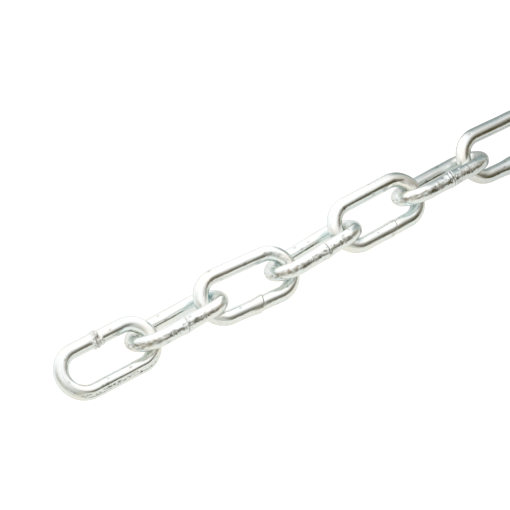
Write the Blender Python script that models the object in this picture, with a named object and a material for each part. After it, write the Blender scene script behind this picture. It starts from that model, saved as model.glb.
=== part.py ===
"""A one-metre length of zinc-plated, butt-welded steel chain, pulled straight on the floor.

Units are metres and +Z is up. The chain runs along +X and every link is one object.
Link 1 is the free end that lies nearest the camera. Each link is the child of the link
before it and has its origin where the two bear on each other. It swings there about the
Y axis of the link before it.
"""

import math

import bmesh
import bpy
import numpy
from mathutils import Matrix, Vector

# One link, as the trade states it: wire diameter, inside length and outside width.
WIRE = 0.006
INSIDE_LENGTH = 0.033
OUTSIDE_WIDTH = 0.023

LINK_COUNT = 30
GAP = 0.0004

# The corners of the section lie on the round wire's surface.
SECTION_SIDES = 12
BEND_STEPS = 8

# Lean is the turn about the chain's line, in degrees. Odd links face the camera and rest
# on their near side. Even links cross them and rest on their far side.
ODD_LEAN = 42
EVEN_LEAN = -36

# Leans and turns of the links nearest the camera, link 1 first, in degrees.
NEAR_LEANS = (30, -31, 34, -35, 38, -36, 45)
NEAR_TURNS = (-1, 1, -5, 4, 0, 0, -3, 3)

ZINC_COLOUR = (0.78, 0.79, 0.79, 1.0)
ZINC_ROUGHNESS = 0.22

MEAN_WIDTH = OUTSIDE_WIDTH - WIRE
MEAN_LENGTH = INSIDE_LENGTH + WIRE
STRAIGHT = MEAN_LENGTH - MEAN_WIDTH
WIRE_RADIUS = WIRE / 2
FLAT_DISTANCE = WIRE_RADIUS * math.cos(math.pi / SECTION_SIDES)

# How finely a link's centre line is measured when it is hooked into the link before.
LINE_STEPS = 60
SEAT_ROUNDS = 12


def clear_scene():
    for thing in list(bpy.data.objects):
        bpy.data.objects.remove(thing, do_unlink=True)


def zinc(name):
    """Bright zinc plating on steel wire."""
    material = bpy.data.materials.new(name)
    material.use_nodes = True
    shader = material.node_tree.nodes["Principled BSDF"]
    shader.inputs["Base Color"].default_value = ZINC_COLOUR
    shader.inputs["Metallic"].default_value = 1.0
    shader.inputs["Roughness"].default_value = ZINC_ROUGHNESS
    return material


def lean_of(number):
    if number <= len(NEAR_LEANS):
        return math.radians(NEAR_LEANS[number - 1])
    return math.radians(ODD_LEAN if number % 2 else EVEN_LEAN)


def turn_of(number):
    if number <= len(NEAR_TURNS):
        return math.radians(NEAR_TURNS[number - 1])
    return 0.0


def attitude(number):
    """How a link lies: leaned about its own length, then turned on the floor."""
    return Matrix.Rotation(turn_of(number), 3, "Z") @ Matrix.Rotation(lean_of(number), 3, "X")


def section_ring(mesh, lean):
    """The wire's section at the end of the near side, with a flat that will face the floor."""
    first_corner = 1.5 * math.pi - abs(lean) - math.pi / SECTION_SIDES
    corners = []
    for step in range(SECTION_SIDES):
        angle = first_corner + step * 2 * math.pi / SECTION_SIDES
        across = -MEAN_WIDTH / 2 + WIRE_RADIUS * math.cos(angle)
        corners.append(mesh.verts.new((STRAIGHT / 2, across, WIRE_RADIUS * math.sin(angle))))
    return [mesh.edges.new(pair) for pair in zip(corners, corners[1:] + corners[:1])]


def bend(mesh, ring, centre_x):
    """Bends the wire half a turn around the link's end and returns the new last ring."""
    spun = bmesh.ops.spin(
        mesh,
        geom=ring,
        cent=(centre_x, 0, 0),
        axis=(0, 0, 1),
        angle=math.pi,
        steps=BEND_STEPS,
    )
    return [item for item in spun["geom_last"] if isinstance(item, bmesh.types.BMEdge)]


def link_mesh(name, lean):
    """One closed ring of wire: a bend at each end, joined by the two straight sides."""
    mesh = bmesh.new()
    near_ring = section_ring(mesh, lean)
    far_ring = bend(mesh, near_ring, STRAIGHT / 2)
    opposite = bmesh.ops.duplicate(mesh, geom=mesh.verts[:] + mesh.edges[:] + mesh.faces[:])
    turned = [item for item in opposite["geom"] if isinstance(item, bmesh.types.BMVert)]
    bmesh.ops.rotate(mesh, verts=turned, cent=(0, 0, 0), matrix=Matrix.Rotation(math.pi, 3, "Z"))
    partner = opposite["edge_map"]
    bmesh.ops.bridge_loops(mesh, edges=far_ring + [partner[edge] for edge in near_ring])
    bmesh.ops.bridge_loops(mesh, edges=near_ring + [partner[edge] for edge in far_ring])
    bmesh.ops.recalc_face_normals(mesh, faces=mesh.faces)
    for face in mesh.faces:
        face.smooth = True
    data = bpy.data.meshes.new(name)
    mesh.to_mesh(data)
    mesh.free()
    return data


def centre_line():
    """Points along the centre of a link's wire, in the link's own frame."""
    points = []
    for end in (1, -1):
        for step in range(LINE_STEPS + 1):
            angle = math.pi * (step / LINE_STEPS - 0.5)
            out = STRAIGHT / 2 + MEAN_WIDTH / 2 * math.cos(angle)
            points.append((end * out, MEAN_WIDTH / 2 * math.sin(angle), 0.0))
    for side in (1, -1):
        for step in range(1, LINE_STEPS // 2):
            along = STRAIGHT * (step / (LINE_STEPS // 2) - 0.5)
            points.append((along, side * MEAN_WIDTH / 2, 0.0))
    return numpy.array(points)


def laid(line, number):
    """The centre line as link number lies, about the link's own centre."""
    return line @ numpy.array(attitude(number)).T


def tip(number, end):
    """From a link's centre to the middle of the bend at one end: 1 or -1."""
    return attitude(number) @ Vector((end * MEAN_LENGTH / 2, 0, 0))


def resting_height(number):
    """Height of a link's centre when the flat under its lower side lies on the floor."""
    return FLAT_DISTANCE + MEAN_WIDTH / 2 * abs(math.sin(lean_of(number)))


def distances(points, others):
    return numpy.linalg.norm(points[:, None] - others[None], axis=2)


def hook_in(number, centre_before):
    """Centre of a link pulled along +X until it bears on the link before, and where it bears."""
    line = centre_line()
    held = laid(line, number - 1) + numpy.array(centre_before)
    wire = laid(line, number)
    centre = centre_before + tip(number - 1, 1) - tip(number, -1) - Vector((WIRE, 0, 0))
    centre.z = resting_height(number)
    for _ in range(SEAT_ROUNDS):
        apart = distances(held, wire + numpy.array(centre))
        centre.x += float(apart.min()) - WIRE - GAP
    nearest = numpy.unravel_index(apart.argmin(), apart.shape)[0]
    return centre, Vector(held[nearest])


def add_link(number, centre, origin):
    """A link whose origin is not its centre but the point that it swings about."""
    name = f"link_{number:02d}"
    lean = attitude(number)
    data = link_mesh(name, lean_of(number))
    data.transform(Matrix.Translation(lean.inverted() @ (centre - origin)))
    data.materials.append(zinc(f"zinc_{number:02d}"))
    link = bpy.data.objects.new(name, data)
    bpy.context.scene.collection.objects.link(link)
    return link, Matrix.Translation(origin) @ lean.to_4x4()


def chain():
    centre = Vector((0, 0, resting_height(1)))
    first, placed = add_link(1, centre, centre)
    first.matrix_basis = placed
    links = [first]
    for number in range(2, LINK_COUNT + 1):
        centre, origin = hook_in(number, centre)
        link, world = add_link(number, centre, origin)
        link.parent = links[-1]
        link.matrix_basis = placed.inverted() @ world
        placed = world
        links.append(link)
    return links


def centre_on_floor(links):
    """Moves the first link, and all that it carries, until the chain is centred on the origin."""
    bpy.context.view_layer.update()
    corners = [link.matrix_world @ vertex.co for link in links for vertex in link.data.vertices]
    for axis in (0, 1):
        reach = [corner[axis] for corner in corners]
        links[0].location[axis] -= (min(reach) + max(reach)) / 2


clear_scene()
centre_on_floor(chain())
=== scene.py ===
"""Looks of the zinc-plated chain: every link with its weld, tool marks and plating.

Units are metres and +Z is up. Each detailed link is built on the centre line of its CAD
node and stands for it. The chain lies on a white light table under a curved light tent.
"""

import math
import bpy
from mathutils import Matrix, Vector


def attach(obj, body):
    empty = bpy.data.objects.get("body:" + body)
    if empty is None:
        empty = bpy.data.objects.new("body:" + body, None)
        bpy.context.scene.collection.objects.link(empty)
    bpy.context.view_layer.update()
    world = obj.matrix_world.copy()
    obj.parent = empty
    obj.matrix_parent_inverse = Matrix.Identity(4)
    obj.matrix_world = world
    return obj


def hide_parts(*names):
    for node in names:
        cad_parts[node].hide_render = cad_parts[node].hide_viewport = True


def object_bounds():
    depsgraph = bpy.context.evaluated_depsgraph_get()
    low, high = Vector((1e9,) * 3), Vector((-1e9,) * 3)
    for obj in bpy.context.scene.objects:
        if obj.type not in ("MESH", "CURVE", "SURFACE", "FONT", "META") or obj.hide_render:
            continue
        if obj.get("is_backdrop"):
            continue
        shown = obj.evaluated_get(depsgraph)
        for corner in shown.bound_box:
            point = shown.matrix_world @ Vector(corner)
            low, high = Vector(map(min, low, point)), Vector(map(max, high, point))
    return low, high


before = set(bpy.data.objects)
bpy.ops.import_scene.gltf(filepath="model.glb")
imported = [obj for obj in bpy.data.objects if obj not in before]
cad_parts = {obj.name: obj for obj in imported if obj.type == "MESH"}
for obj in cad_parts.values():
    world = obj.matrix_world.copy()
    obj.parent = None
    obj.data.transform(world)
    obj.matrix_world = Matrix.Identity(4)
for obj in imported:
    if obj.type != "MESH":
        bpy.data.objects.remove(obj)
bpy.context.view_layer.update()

from types import SimpleNamespace

import bmesh
import bpy
import numpy as np
from mathutils import Matrix, Vector

MM = 0.001

# One link, as the trade states it: wire diameter, inside length and outside width.
WIRE = 6 * MM
INSIDE_LENGTH = 33 * MM
OUTSIDE_WIDTH = 23 * MM
RADIUS = WIRE / 2
MEAN_RADIUS = (OUTSIDE_WIDTH - WIRE) / 2
HALF_STRAIGHT = (INSIDE_LENGTH + WIRE) / 2 - MEAN_RADIUS
LENGTH_OF_WIRE = 4 * HALF_STRAIGHT + 2 * math.pi * MEAN_RADIUS

# The links that the camera sees have the finer mesh: spacing near the weld, spacing
# elsewhere and corners round the wire.
NEAR_LINKS = 7
NEAR_MESH = (0.14 * MM, 0.32 * MM, 84)
FAR_MESH = (0.32 * MM, 0.80 * MM, 44)
WELD_REACH = 10 * MM

# Kinds of mark that the mesh keeps for the material, as a share at each point; the weld lines' mark also
# holds painted shade in the free end's notch.
MARKS = ("seam", "dull", "pits", "grime")

# Each link draws its marks from a seed of its own: this and its number.
SEED_BASE = 100

# Where the welds of links 2 to 7 sit on their side, as seen in the photo, and the mark
# of the right-hand welding clamp on links 2, 4 and 6.
WELD_PLACES = {2: -1.6 * MM, 3: 0.8 * MM, 4: -0.1 * MM, 5: 2.0 * MM, 6: -1.0 * MM, 7: -1.9 * MM}
CLAMP_PLACES = {2: 6.7 * MM, 4: 8.4 * MM, 6: 8.2 * MM}

# Lumps of the free end's flash: place along the wire in mm, place round it in degrees, height in mm.
FLASH_LUMPS = ((0.5, 62, 0.45), (-1.0, 128, 0.42), (0.3, 148, 0.50), (-1.5, 165, 0.52), (0.2, -70, 0.30))

BEADS_AT_WELD = 9
DENTS_ON_LINK = 26

# Round wire would reach this far below the flats that the CAD link rests on.
LOWEST = -0.10 * MM

# The plating: two faint tints that drift into each other, then what lies over them.
BLUISH_ZINC = (0.780, 0.855, 0.860, 1)
GREENISH_ZINC = (0.815, 0.855, 0.840, 1)
BENT_ZINC = (0.800, 0.795, 0.720, 1)
STREAKED_ZINC = (0.680, 0.710, 0.700, 1)
LINED_ZINC = (0.660, 0.670, 0.640, 1)
DULL_ZINC = (0.560, 0.565, 0.530, 1)
GRIME = (0.370, 0.345, 0.285, 1)
PIT = (0.270, 0.260, 0.230, 1)
# Dark weld lines, and the same colour as painted shade in the free end's notch.
SEAM_AND_NOTCH_SHADE = (0.300, 0.275, 0.235, 1)
EDGE_TINT = (0.87, 0.86, 0.86, 1)
BUMP_DEPTH = 0.022 * MM

CAMERA_AZIMUTH = 37.07
CAMERA_ELEVATION = 44.97
CAMERA_DISTANCE = 1.1286
CAMERA_TARGET = Vector((-0.38654, 0.01696, 0.0))
LENS = 204.15
SENSOR = 36.0

# The light is a little warm, so that the faintly blue plating looks neutral in it.
LIGHT_TINT = (1.0, 0.945, 0.935, 1)

# The ground and the surroundings glow enough to come out pure white, as in the photo.
WHITE_GLOW = 1.2
SURROUNDINGS_RADIUS = 16.0

# The tent is half a tube over the chain. It fades in along X over TENT_LEFT and out over
# TENT_RIGHT. Round the tube, in degrees from the ground behind the chain, it fades over
# TENT_FRONT to a faint skirt, which ends along X over SKIRT_RIGHT. Below TENT_FOOT the tent
# dims towards the ground.
TENT_RADIUS = 0.09
TENT_STEPS = 48
TENT_GLOW = 1.36
TENT_LEFT = (-0.75, -0.36)
TENT_RIGHT = (-0.31, -0.25)
TENT_FRONT = (92, 144)
TENT_SKIRT = 0.07
SKIRT_RIGHT = (-0.33, -0.27)
TENT_FOOT = 45
TENT_FOOT_SHARE = 0.75

# The table is clear glass with this much white veil, so that a link swung below it still shows.
# The light that the metal reflects lies a little under the glass.
TABLE_HALF_WIDTH = 14.0
GLASS_VEIL = 0.12
TABLE_LIGHT_DROP = 0.1 * MM

# The light under the table dims along the chain, and most of all behind it: its colour at
# the free end and past the tent, where it dims along X, and where front turns to back along Y.
TABLE_FRONT_LIGHT = ((1.00, 0.965, 0.90, 1), (0.78, 0.76, 0.73, 1))
TABLE_BACK_LIGHT = ((1.04, 1.03, 1.02, 1), (0.41, 0.45, 0.45, 1))
TABLE_FRONT_DIMS = (-0.34, -0.27)
TABLE_BACK_DIMS = (-0.34, -0.24)
TABLE_BACK = (-0.01, 0.03)

# The walls of the room: the heading of a patch in degrees from +Y towards +X, the cosines of
# the angle off that heading where it starts and where it is full, and its colour.
WALLS = (0.60, 0.60, 0.55, 1)
LEFT_WALL = (-100, (0.70, 0.95), (0.66, 0.62, 0.54, 1))
BRIGHT_WALL = (15, (0.20, 0.85), (1.04, 0.98, 0.97, 1))
BLUE_CORNER = (45, (0.70, 0.95), (0.33, 0.40, 0.40, 1))
DARK_DOORWAY = (148, (0.80, 0.98), (0.085, 0.070, 0.022, 1))
BROWN_PANEL = (118, (0.90, 0.99), (0.33, 0.29, 0.22, 1))

# The ceiling takes over between these two heights of a direction, slowly at first.
CEILING = (0.96, 0.92, 0.91, 1)
CEILING_HEIGHTS = (0.12, 0.93)
CEILING_POWER = 3.0

# Light passes from link to link many times.
GLOSSY_BOUNCES = 12


class Wire:
    """The wire's surface as a grid: along it from the middle of the weld's side, and round it.

    Round is 0 on the outside of the link and grows over the link's upper face.
    """

    def __init__(self, far_side, mesh_size):
        fine, coarse, corners = mesh_size
        self.start = HALF_STRAIGHT + (LENGTH_OF_WIRE / 2 if far_side else 0.0)
        rings = self.ring_places(fine, coarse)
        self.along = rings[:, None]
        self.round = np.linspace(-math.pi, math.pi, corners, endpoint=False)[None, :]
        self.shape = (len(rings), corners)
        self.relief = np.zeros(self.shape)
        self.marks = {name: np.zeros(self.shape) for name in MARKS}

    @staticmethod
    def ring_places(fine, coarse):
        """Distances from the weld side's middle, closer together near it."""
        half = LENGTH_OF_WIRE / 2
        near = np.arange(0, WELD_REACH, fine)
        far = np.linspace(WELD_REACH, half, int((half - WELD_REACH) / coarse))
        one_way = np.concatenate([near, far])
        return np.concatenate([-one_way[:0:-1], one_way[:-1]])

    def raise_by(self, height):
        self.relief = self.relief + height

    def mark(self, name, share):
        self.marks[name] = np.maximum(self.marks[name], share)

    def centre_line(self):
        """Centre and outward direction in the link's plane for each ring."""
        place = np.mod(self.along[:, 0] + self.start, LENGTH_OF_WIRE)
        on_far_half = place >= LENGTH_OF_WIRE / 2
        place = np.where(on_far_half, place - LENGTH_OF_WIRE / 2, place)
        on_bend = place > 2 * HALF_STRAIGHT
        angle = np.where(on_bend, (place - 2 * HALF_STRAIGHT) / MEAN_RADIUS, 0.0)
        outward = np.stack([np.sin(angle), -np.cos(angle)], 1)
        centre = outward * MEAN_RADIUS
        centre[:, 0] += np.where(on_bend, HALF_STRAIGHT, place - HALF_STRAIGHT)
        sign = np.where(on_far_half, -1.0, 1.0)[:, None]
        return centre * sign, outward * sign

    def bent(self):
        """1 on the two bends and 0 on the straight sides."""
        place = np.mod(self.along + self.start, LENGTH_OF_WIRE / 2)
        middle = 2 * HALF_STRAIGHT + math.pi * MEAN_RADIUS / 2
        reach = math.pi * MEAN_RADIUS / 2
        return 1 - smooth(reach * 0.5, reach * 1.1, np.abs(place - middle))

    def points(self):
        centre, outward = self.centre_line()
        reach = RADIUS + self.relief
        flat = (reach * np.cos(self.round))[..., None] * outward[:, None, :] + centre[:, None, :]
        height = reach * np.sin(self.round)
        return np.concatenate([flat, height[..., None]], 2).reshape(-1, 3)

    def faces(self):
        rings, corners = self.shape
        index = np.arange(rings * corners).reshape(rings, corners)
        ahead = np.roll(index, -1, axis=0)
        quads = np.stack([index, ahead, np.roll(ahead, -1, 1), np.roll(index, -1, 1)], 2)
        return quads.reshape(-1, 4)


def smooth(low, high, value):
    """0 below low, 1 above high, and a smooth rise between."""
    part = np.clip((value - low) / (high - low), 0, 1)
    return part * part * (3 - 2 * part)


def bell(value, reach):
    """1 where the value is 0, and falling away smoothly on both sides."""
    return np.exp(-((value / reach) ** 2))


def turn_from(wire, around):
    """How far round the wire each point is from a place, in degrees either way."""
    return np.degrees(np.angle(np.exp(1j * (wire.round - math.radians(around)))))


def blob(wire, along, around, reach_along, reach_around):
    """A soft round patch on the wire. Around is in degrees, and the rest in metres."""
    gone = (wire.along - along) / reach_along
    turned = np.radians(turn_from(wire, around)) * RADIUS / reach_around
    return np.exp(-(gone**2) - turned**2)


def ripples(wire, chance, shortest, longest, waves=48, stretch=1.0):
    """An even random roughness with wavelengths between two lengths, closing on itself."""
    total = np.zeros(wire.shape)
    for _ in range(waves):
        length = chance.uniform(shortest, longest)
        heading = chance.uniform(0, math.pi)
        turns_along = round(LENGTH_OF_WIRE * math.cos(heading) / (length * stretch))
        turns_round = round(2 * math.pi * RADIUS * math.sin(heading) / length)
        phase = chance.uniform(0, 2 * math.pi)
        along = 2 * math.pi * turns_along * wire.along / LENGTH_OF_WIRE
        total += np.cos(along + turns_round * wire.round + phase)
    return total * math.sqrt(2 / waves)


def waviness(wire, chance):
    """The slow unevenness of bent wire, and the long fine lines of drawn wire."""
    slow = ripples(wire, chance, 7 * MM, 16 * MM, waves=20)
    drawn = ripples(wire, chance, 1.2 * MM, 3.5 * MM, waves=40, stretch=6.0)
    wire.raise_by(0.020 * MM * slow)
    wire.raise_by(0.009 * MM * drawn)


def past_weld(wire, chance, place, lag):
    """How far each point is past the weld, whose line leans and wavers round the wire.

    The lag is how much further along it lies a quarter turn round the wire from the outside.
    """
    waver = 0.14 * MM * np.cos(3 * wire.round + chance.uniform(0, 6))
    lean = 0.3 * MM * np.sin(wire.round)
    return wire.along - place - lag * (1 - np.cos(wire.round)) - waver - lean


def trimmed_weld(wire, chance, place):
    """A butt weld with its flash trimmed off: one end swells up to a sharp lip."""
    past = past_weld(wire, chance, place, lag=1.2 * MM)
    lumpy = 1 + 0.30 * np.cos(2 * wire.round + chance.uniform(0, 6))
    swollen = 0.36 * MM * lumpy * bell(past, 3.4 * MM)
    sunken = -0.17 * MM * np.exp(-np.maximum(past, 0) / (1.0 * MM))
    over_lip = smooth(-0.14 * MM, 0.14 * MM, past)
    wire.raise_by(swollen * (1 - over_lip) + sunken * over_lip)
    wire.mark("seam", bell(past - 0.10 * MM, 0.22 * MM))


def rough_weld(wire, chance, place):
    """A weld whose flash was only torn off: a lip, a gouge and beads of metal around it."""
    past = past_weld(wire, chance, place, lag=0.5 * MM)
    lip = 0.30 * MM * bell(past + 0.45 * MM, 0.40 * MM)
    gouge = 0.24 * MM * bell(past - 0.35 * MM, 0.35 * MM)
    shoulder = 0.20 * MM * bell(past, 2.8 * MM)
    patchy = smooth(-0.8, 0.8, ripples(wire, chance, 2.0 * MM, 4.5 * MM, waves=16))
    wire.raise_by(shoulder + lip * patchy - gouge * (0.4 + 0.6 * patchy))
    near = bell(past, 1.9 * MM)
    wire.raise_by(0.055 * MM * near * ripples(wire, chance, 0.8 * MM, 1.8 * MM))
    for _ in range(BEADS_AT_WELD):
        size = chance.uniform(0.40, 0.80) * MM
        along = place + chance.normal(0, 1.7) * MM
        bead = blob(wire, along, chance.uniform(-50, 70), size * 1.3, size)
        wire.raise_by(chance.uniform(0.10, 0.24) * MM * bead)
        wire.mark("dull", 0.8 * bead)
    wire.mark("seam", 0.8 * bell(past - 0.30 * MM, 0.26 * MM) * patchy)


def ring_of_flash(wire, chance, place):
    """The free end's weld, left untrimmed: a lumpy collar of flash, and a notch in its top with painted
    shade in it.
    """
    past = past_weld(wire, chance, place, lag=0.5 * MM)
    clumps = smooth(-0.9, 0.9, ripples(wire, chance, 1.5 * MM, 3.5 * MM, waves=24))
    first = bell(past + 0.75 * MM, 0.36 * MM) * (0.2 + clumps)
    second = bell(past - 0.80 * MM, 0.50 * MM) * (1.3 - clumps)
    near = bell(past, 1.7 * MM)
    lower_outside = 1 - 0.3 * np.maximum(np.cos(wire.round), 0)
    wire.raise_by(lower_outside * MM * (0.48 * first + 0.46 * second + 0.18 * near))
    wire.raise_by(0.12 * MM * near * ripples(wire, chance, 0.8 * MM, 1.7 * MM))
    for along, around, height in FLASH_LUMPS:
        wire.raise_by(height * MM * blob(wire, place + along * MM, around, 0.75 * MM, 0.95 * MM))
    notch = blob(wire, place + 0.1 * MM, 95, 0.55 * MM, 0.8 * MM)
    wire.raise_by(-0.50 * MM * notch)
    # The notch is painted dark with the weld lines' colour: painted shade in the recess.
    wire.mark("seam", notch)
    wire.mark("seam", 0.45 * bell(past, 0.28 * MM))
    wire.mark("dull", near)


def clamp_mark(wire, chance, place):
    """A flat that the welding clamp pressed into the outside of the link, with a torn edge."""
    around = chance.uniform(4, 18)
    pressed = blob(wire, place, around, 0.85 * MM, 1.5 * MM)
    edge = blob(wire, place - 1.0 * MM, around, 0.45 * MM, 1.6 * MM)
    wire.raise_by(0.16 * MM * edge - 0.12 * MM * pressed)
    wire.mark("dull", pressed)


def pitted_stripe(wire, chance, share, around, half_width, dullness):
    """Coarse pitting where a tool rolled or gripped the wire, in a stripe along it."""
    stripe = 1 - smooth(half_width * 0.5, half_width * 1.5, np.abs(turn_from(wire, around)))
    mask = stripe * share
    fine = ripples(wire, chance, 0.8 * MM, 1.7 * MM, waves=64, stretch=1.4)
    coarse = ripples(wire, chance, 1.8 * MM, 4.0 * MM, waves=32, stretch=1.5)
    deep = smooth(0.7, 1.6, fine)
    wire.raise_by(mask * MM * (0.018 * fine + 0.036 * coarse - 0.085 * deep))
    wire.mark("pits", mask * deep)
    wire.mark("dull", mask * dullness * smooth(-0.7, 0.9, coarse))


def groove(wire, share, around, depth, half_width):
    """A fine line scored along the wire by the edge of a tool."""
    line = share * bell(np.radians(turn_from(wire, around)) * RADIUS, half_width)
    wire.raise_by(-depth * line)
    wire.mark("pits", 0.35 * line)


def bites(wire, chance, around, start, end):
    """A row of short deep marks, as a knurled feed roller leaves."""
    place = start
    while place < end:
        size = chance.uniform(0.18, 0.32) * MM
        bite = blob(wire, place, around + chance.normal(0, 6), size * chance.uniform(1.0, 2.2), size)
        wire.raise_by(-0.12 * MM * bite)
        wire.mark("pits", 0.75 * bite)
        place += chance.uniform(0.7, 2.4) * MM


def flattened(wire, share, around, half_width):
    """A flat along the wire, as a roller leaves it."""
    turn = np.minimum(np.abs(turn_from(wire, around)), 89)
    cut = math.cos(math.radians(half_width)) / np.cos(np.radians(turn)) - 1
    wire.raise_by(share * RADIUS * np.minimum(cut, 0))


def dents(wire, chance, count):
    """Handling dents, anywhere on the wire."""
    half = LENGTH_OF_WIRE / 2
    for _ in range(count):
        size = chance.uniform(0.25, 0.55) * MM
        place = chance.uniform(-half, half)
        dent = blob(wire, place, chance.uniform(-180, 180), size * 1.5, size)
        wire.raise_by(-chance.uniform(0.03, 0.08) * MM * dent)
        wire.mark("pits", 0.7 * dent)


def mark_free_end(wire, chance):
    """Link 1: untrimmed weld on its far side, and a rolled, pitted stripe on its near side."""
    ring_of_flash(wire, chance, 0.3 * MM)
    half = LENGTH_OF_WIRE / 2
    opposite = smooth(14 * MM, 24 * MM, np.abs(wire.along))
    straight = smooth(26 * MM, 36 * MM, np.abs(wire.along))
    flattened(wire, straight, around=52, half_width=25)
    groove(wire, opposite, around=78, depth=0.05 * MM, half_width=0.16 * MM)
    groove(wire, opposite, around=36, depth=0.05 * MM, half_width=0.14 * MM)
    rolled = 0.25 * opposite + 0.35 * straight
    pitted_stripe(wire, chance, rolled, around=44, half_width=14, dullness=0.3)
    bites(wire, chance, 52, half - 16 * MM, half)
    bites(wire, chance, 52, -half, 9 * MM - half)


def mark_crossing_link(wire, chance, number):
    """Even links: torn weld, clamp marks and grip marks on the outside of the raised side."""
    place = WELD_PLACES.get(number, chance.uniform(-2, 2) * MM)
    rough_weld(wire, chance, place)
    clamp_mark(wire, chance, CLAMP_PLACES.get(number, chance.uniform(6.5, 8.5) * MM))
    clamp_mark(wire, chance, chance.uniform(-7.4, -6.4) * MM)
    near_weld = 0.40 + 0.60 * np.exp(-(((wire.along + 6 * MM) / (19 * MM)) ** 4))
    pitted_stripe(wire, chance, near_weld, around=8, half_width=26, dullness=0.45)
    soiled = np.exp(-(((wire.along + 17 * MM) / (7 * MM)) ** 4) - (turn_from(wire, 10) / 20) ** 4)
    wire.mark("grime", soiled * (0.65 + 0.35 * ripples(wire, chance, 1.0 * MM, 3.0 * MM)))


def mark_facing_link(wire, chance, number):
    """Odd links: trimmed weld on the near side, shallow marks, and rougher zinc where it was bent."""
    place = WELD_PLACES.get(number, chance.uniform(-2, 2) * MM)
    trimmed_weld(wire, chance, place)
    pitted_stripe(wire, chance, 0.22, around=0, half_width=50, dullness=0.3)
    roughened = 0.08 + 0.40 * wire.bent()
    pitted_stripe(wire, chance, roughened, around=108, half_width=15, dullness=0.2)


def axes_of(node):
    """Centre and axes of a CAD link: along it, across it and square to its plane."""
    spots = np.array([vertex.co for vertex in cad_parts[node].data.vertices])
    spots = np.unique(np.round(spots, 7), axis=0)
    centre = spots.mean(0)
    axes = np.linalg.eigh(np.cov((spots - centre).T))[1]
    along = axes[:, 2] * np.sign(axes[0, 2])
    across = axes[:, 1] * np.sign(axes[1, 1])
    turned = np.stack([along, across, np.cross(along, across)], 1)
    return Matrix.Translation(centre) @ Matrix(turned.tolist()).to_4x4()


def mesh_of(name, wire, number):
    """The grid as one closed mesh, with its marks and its own measure along and round the wire."""
    data = bpy.data.meshes.new(name)
    faces = wire.faces()
    points = wire.points()
    data.vertices.add(len(points))
    data.vertices.foreach_set("co", points.astype(np.float32).ravel())
    data.loops.add(faces.size)
    data.loops.foreach_set("vertex_index", faces.ravel().astype(np.int32))
    data.polygons.add(len(faces))
    data.polygons.foreach_set("loop_start", np.arange(0, faces.size, 4, dtype=np.int32))
    data.polygons.foreach_set("use_smooth", np.ones(len(faces), bool))
    data.update(calc_edges=True)
    for label, share in {**wire.marks, "bent": wire.bent()}.items():
        layer = data.attributes.new(label, "FLOAT", "POINT")
        layer.data.foreach_set("value", np.broadcast_to(share, wire.shape).astype(np.float32).ravel())
    add_measure(data, wire, faces, number)
    return data


def add_measure(data, wire, faces, number):
    """UVs in millimetres: U along the wire and V round it, in a stretch of its own for each link."""
    corners = wire.shape[1]
    row, column = faces[:, 0] // corners, faces[:, 0] % corners
    edges = np.append(wire.along[:, 0], wire.along[0, 0] + LENGTH_OF_WIRE) / MM
    edges = edges + number * LENGTH_OF_WIRE / MM
    step = 2 * math.pi * RADIUS / MM / corners
    along = np.stack([edges[row], edges[row + 1], edges[row + 1], edges[row]], 1)
    around = np.stack([column, column, column + 1, column + 1], 1) * step
    layer = data.uv_layers.new(name="wire_mm")
    layer.data.foreach_set("uv", np.stack([along, around], 2).astype(np.float32).ravel())


def rest_on_floor(data):
    """Lets nothing of the relief reach below the floor that the link lies on."""
    spots = np.empty(len(data.vertices) * 3, np.float32)
    data.vertices.foreach_get("co", spots)
    spots[2::3] = np.maximum(spots[2::3], LOWEST)
    data.vertices.foreach_set("co", spots)
    data.update()


def dress_link(number, node, finish):
    """Builds the detailed link that stands for one CAD link."""
    chance = np.random.default_rng(SEED_BASE + number)
    wire = Wire(number == 1, NEAR_MESH if number <= NEAR_LINKS else FAR_MESH)
    waviness(wire, chance)
    if number == 1:
        mark_free_end(wire, chance)
    elif number % 2 == 0:
        mark_crossing_link(wire, chance, number)
    else:
        mark_facing_link(wire, chance, number)
    dents(wire, chance, DENTS_ON_LINK)
    name = f"welded_link_{number:02d}"
    link = bpy.data.objects.new(name, mesh_of(name, wire, number))
    link.data.transform(axes_of(node))
    rest_on_floor(link.data)
    link.data.materials.append(finish)
    bpy.context.scene.collection.objects.link(link)
    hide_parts(node)
    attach(link, node)


class Nodes:
    """A short way to write the nodes of a material or of the world."""

    def __init__(self, owner):
        owner.use_nodes = True
        self.tree = owner.node_tree
        self.tree.nodes.clear()

    def add(self, kind, inputs=None, **settings):
        node = self.tree.nodes.new(kind)
        for key, value in settings.items():
            setattr(node, key, value)
        for key, value in (inputs or {}).items():
            self.put(node.inputs[key], value)
        return node

    def put(self, socket, value):
        if isinstance(value, bpy.types.NodeSocket):
            self.tree.links.new(value, socket)
        else:
            socket.default_value = value

    def math(self, operation, first, second=0.0):
        return self.add("ShaderNodeMath", {0: first, 1: second}, operation=operation).outputs[0]

    def total(self, *values):
        result = values[0]
        for value in values[1:]:
            result = self.math("ADD", result, value)
        return result

    def scaled(self, value, share):
        return self.math("MULTIPLY", value, share)

    def ramp(self, value, low, high, start=0.0, end=1.0):
        inputs = {0: value, 1: low, 2: high, 3: start, 4: end}
        return self.add("ShaderNodeMapRange", inputs, interpolation_type="SMOOTHSTEP").outputs[0]

    def mix(self, share, first, second):
        inputs = {0: share, 6: first, 7: second}
        return self.add("ShaderNodeMix", inputs, data_type="RGBA").outputs[2]

    def noise(self, vector, scale, detail=2.0, rough=0.5):
        inputs = {"Vector": vector, "Scale": scale, "Detail": detail, "Roughness": rough}
        return self.add("ShaderNodeTexNoise", inputs).outputs[0]

    def stretched(self, vector, scale):
        return self.add("ShaderNodeMapping", {"Vector": vector, "Scale": scale}).outputs[0]

    def attribute(self, name):
        return self.add("ShaderNodeAttribute", attribute_name=name).outputs["Fac"]

    def spot(self):
        """X, Y and Z of the shaded point in its object."""
        place = self.add("ShaderNodeTexCoord").outputs["Object"]
        return self.add("ShaderNodeSeparateXYZ", {"Vector": place}).outputs


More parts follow.
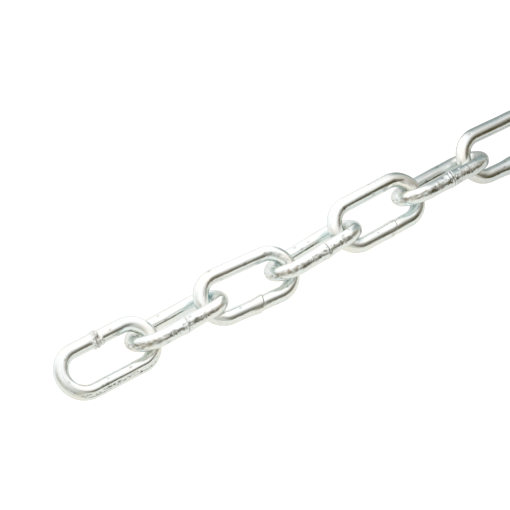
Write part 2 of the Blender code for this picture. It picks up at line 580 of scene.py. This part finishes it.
def plating_patterns(n):
    """The marks that the mesh keeps, and the noises that the plating's looks are made from."""
    place = n.add("ShaderNodeTexCoord").outputs["Object"]
    measure = n.add("ShaderNodeUVMap", uv_map="wire_mm").outputs[0]
    found = {label: n.attribute(label) for label in (*MARKS, "bent")}
    found["clouds"] = n.noise(place, 110.0, 3.0)
    found["grain"] = n.noise(place, 1500.0, 3.0, 0.6)
    found["streaks"] = n.noise(n.stretched(measure, (0.10, 2.6, 1.0)), 1.0, 3.0, 0.6)
    found["lines"] = n.noise(n.stretched(measure, (0.04, 1.0, 1.0)), 1.0, 3.0, 0.6)
    found["scratches"] = n.noise(n.stretched(measure, (0.5, 12.0, 1.0)), 1.0, 2.0)
    return SimpleNamespace(**found)


def plating_tint(n, pattern):
    """The zinc's colour: drifting tints, streaks and lines, and darker in marks, dirt, weld lines and
    the painted shade of the free end's notch.
    """
    yellowed = n.scaled(pattern.bent, n.ramp(pattern.clouds, 0.45, 0.60, 0.05, 0.45))
    tint = n.mix(n.ramp(pattern.clouds, 0.38, 0.64), BLUISH_ZINC, GREENISH_ZINC)
    tint = n.mix(yellowed, tint, BENT_ZINC)
    tint = n.mix(n.ramp(pattern.streaks, 0.50, 0.72, 0.0, 0.35), tint, STREAKED_ZINC)
    tint = n.mix(n.ramp(pattern.lines, 0.52, 0.66, 0.0, 0.25), tint, LINED_ZINC)
    tint = n.mix(n.scaled(pattern.dull, 0.35), tint, DULL_ZINC)
    tint = n.mix(n.scaled(pattern.grime, 0.85), tint, GRIME)
    tint = n.mix(n.scaled(pattern.pits, 0.85), tint, PIT)
    # Dark weld lines, and painted shade in the free end's notch.
    return n.mix(n.scaled(pattern.seam, 0.80), tint, SEAM_AND_NOTCH_SHADE)


def plating_roughness(n, pattern):
    """Bright along the streaks, and rougher in grain, dull patches, pits, weld lines and the free end's
    notch.
    """
    streaky = n.ramp(pattern.streaks, 0.35, 0.75, 0.11, 0.19)
    grainy = n.ramp(pattern.grain, 0.45, 0.75, 0.0, 0.07)
    rough = n.total(streaky, grainy, n.scaled(pattern.dull, 0.26))
    return n.total(rough, n.scaled(pattern.pits, 0.10), n.scaled(pattern.seam, 0.25))


def plating_bump(n, pattern):
    """Relief too fine for the mesh: grain, streaks, scratches and drawing lines."""
    grainy = n.scaled(pattern.grain, n.total(0.45, n.scaled(pattern.dull, 1.2)))
    height = n.total(grainy, n.scaled(pattern.streaks, 1.5))
    height = n.total(height, n.scaled(pattern.scratches, 0.35), n.scaled(pattern.lines, 1.5))
    bump = {"Strength": 1.0, "Distance": BUMP_DEPTH, "Height": height}
    return n.add("ShaderNodeBump", bump).outputs[0]


def zinc_finish():
    """Bright zinc plating over drawn wire."""
    material = bpy.data.materials.new("zinc_plating")
    n = Nodes(material)
    pattern = plating_patterns(n)
    looks = {"Base Color": plating_tint(n, pattern), "Roughness": plating_roughness(n, pattern)}
    shader = n.add("ShaderNodeBsdfPrincipled", looks)
    n.put(shader.inputs["Metallic"], 1.0)
    n.put(shader.inputs["Specular Tint"], EDGE_TINT)
    n.put(shader.inputs["Normal"], plating_bump(n, pattern))
    n.add("ShaderNodeOutputMaterial", {"Surface": shader.outputs[0]})
    return material


def add_stage(name, data, material, **seen_by):
    thing = bpy.data.objects.new(name, data)
    data.materials.append(material)
    bpy.context.scene.collection.objects.link(thing)
    for ray in ("camera", "diffuse", "glossy", "transmission", "shadow"):
        setattr(thing, f"visible_{ray}", seen_by.get(ray, True))
    thing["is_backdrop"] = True


def glow(name, strength, mask=None):
    """An even white glow, clear where the mask is 0."""
    material = bpy.data.materials.new(name)
    n = Nodes(material)
    shine = n.add("ShaderNodeEmission", {"Color": LIGHT_TINT, "Strength": strength}).outputs[0]
    if mask:
        clear = n.add("ShaderNodeBsdfTransparent").outputs[0]
        shine = n.add("ShaderNodeMixShader", {0: mask(n), 1: clear, 2: shine}).outputs[0]
    n.add("ShaderNodeOutputMaterial", {"Surface": shine})
    return material


def table_light():
    """The light of the table as the metal reflects it: dimmer past the tent's end."""
    material = bpy.data.materials.new("table_light")
    n = Nodes(material)
    x, y, _ = n.spot()
    front = n.mix(n.ramp(x, *TABLE_FRONT_DIMS), *TABLE_FRONT_LIGHT)
    back = n.mix(n.ramp(x, *TABLE_BACK_DIMS), *TABLE_BACK_LIGHT)
    colour = n.mix(n.ramp(y, *TABLE_BACK), front, back)
    shine = n.add("ShaderNodeEmission", {"Color": colour}).outputs[0]
    n.add("ShaderNodeOutputMaterial", {"Surface": shine})
    return material


def level_sheet(name, height):
    """A square sheet as wide as the table."""
    data = bpy.data.meshes.new(name)
    ends = (-TABLE_HALF_WIDTH, TABLE_HALF_WIDTH)
    data.from_pydata([(x, y, height) for y in ends for x in ends], [], [(0, 1, 3, 2)])
    return data


def tent():
    """Half a tube along X, from the ground behind the chain over its top to the ground in front."""
    data = bpy.data.meshes.new("tent")
    corners = []
    for step in range(TENT_STEPS + 1):
        turn = math.pi * step / TENT_STEPS
        for end in (TENT_LEFT[0], TENT_RIGHT[1]):
            corners.append((end, TENT_RADIUS * math.cos(turn), TENT_RADIUS * math.sin(turn)))
    faces = [(2 * k, 2 * k + 1, 2 * k + 3, 2 * k + 2) for k in range(TENT_STEPS)]
    data.from_pydata(corners, [], faces)
    return data


def tent_mask(n):
    """1 behind and above the chain, fading towards the camera and to 0 at both ends."""
    x, y, z = n.spot()
    turn = n.math("ARCTAN2", z, y)
    skirt = n.ramp(x, *SKIRT_RIGHT, TENT_SKIRT, 0.0)
    front = n.ramp(turn, *[math.radians(angle) for angle in TENT_FRONT], 1.0, skirt)
    low = n.ramp(turn, 0.0, math.radians(TENT_FOOT), TENT_FOOT_SHARE, 1.0)
    left = n.ramp(x, *TENT_LEFT)
    right = n.ramp(x, *TENT_RIGHT, 1.0, 0.0)
    return n.scaled(n.scaled(front, low), n.scaled(left, right))


def dome():
    """The white surroundings that only the camera sees."""
    data = bpy.data.meshes.new("surroundings")
    shell = bmesh.new()
    bmesh.ops.create_uvsphere(shell, u_segments=32, v_segments=16, radius=SURROUNDINGS_RADIUS)
    shell.to_mesh(data)
    shell.free()
    return data


def level_direction(n, direction):
    """A direction without its height, one unit long."""
    inputs = {0: direction, 1: (1, 1, 0)}
    level = n.add("ShaderNodeVectorMath", inputs, operation="MULTIPLY").outputs[0]
    return n.add("ShaderNodeVectorMath", {0: level}, operation="NORMALIZE").outputs[0]


def room():
    """What the metal reflects past the tent, by direction: a dim room under a white ceiling."""
    world = bpy.data.worlds.new("room")
    bpy.context.scene.world = world
    n = Nodes(world)
    direction = n.add("ShaderNodeTexCoord").outputs["Generated"]
    level = level_direction(n, direction)
    colour = WALLS
    for heading, reach, patch in (LEFT_WALL, BRIGHT_WALL, BLUE_CORNER, DARK_DOORWAY, BROWN_PANEL):
        turn = math.radians(heading)
        inputs = {0: level, 1: (math.sin(turn), math.cos(turn), 0.0)}
        share = n.add("ShaderNodeVectorMath", inputs, operation="DOT_PRODUCT").outputs[1]
        colour = n.mix(n.ramp(share, *reach), colour, patch)
    height = n.add("ShaderNodeSeparateXYZ", {"Vector": direction}).outputs[2]
    low, high = CEILING_HEIGHTS
    above = n.add("ShaderNodeMapRange", {0: height, 1: low, 2: high}).outputs[0]
    colour = n.mix(n.math("POWER", above, CEILING_POWER), colour, CEILING)
    background = n.add("ShaderNodeBackground", {"Color": colour, "Strength": 1.0})
    n.add("ShaderNodeOutputWorld", {"Surface": background.outputs[0]})


def studio(floor_height):
    """The table and the surroundings as the camera sees them, and what lights the metal."""
    room()
    hidden = {"diffuse": False, "glossy": False, "transmission": False, "shadow": False}
    white = glow("white_surroundings", WHITE_GLOW)
    glass = glow("glass_table", WHITE_GLOW, lambda n: GLASS_VEIL)
    add_stage("table", level_sheet("table", floor_height), glass, **hidden)
    add_stage("surroundings", dome(), white, **hidden)
    under = floor_height - TABLE_LIGHT_DROP
    add_stage("table_light", level_sheet("table_light", under), table_light(), camera=False)
    add_stage("tent", tent(), glow("tent_glow", TENT_GLOW, tent_mask), camera=False, shadow=False)


def place_camera():
    """The photo's view, from above the free end of the chain."""
    turn, drop = math.radians(CAMERA_AZIMUTH), math.radians(CAMERA_ELEVATION)
    ahead = Vector((math.sin(turn) * math.cos(drop), math.cos(turn) * math.cos(drop), -math.sin(drop)))
    data = bpy.data.cameras.new("camera")
    data.sensor_width = SENSOR
    data.lens = LENS
    camera = bpy.data.objects.new("camera", data)
    camera.location = CAMERA_TARGET - ahead * CAMERA_DISTANCE
    camera.rotation_mode = "QUATERNION"
    camera.rotation_quaternion = ahead.to_track_quat("-Z", "Y")
    bpy.context.scene.collection.objects.link(camera)
    bpy.context.scene.camera = camera


zinc = zinc_finish()
for number, node in enumerate(sorted(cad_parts), 1):
    dress_link(number, node, zinc)

studio(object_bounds()[0].z)
place_camera()
bpy.context.scene.view_settings.view_transform = "Standard"
bpy.context.scene.cycles.glossy_bounces = GLOSSY_BOUNCES
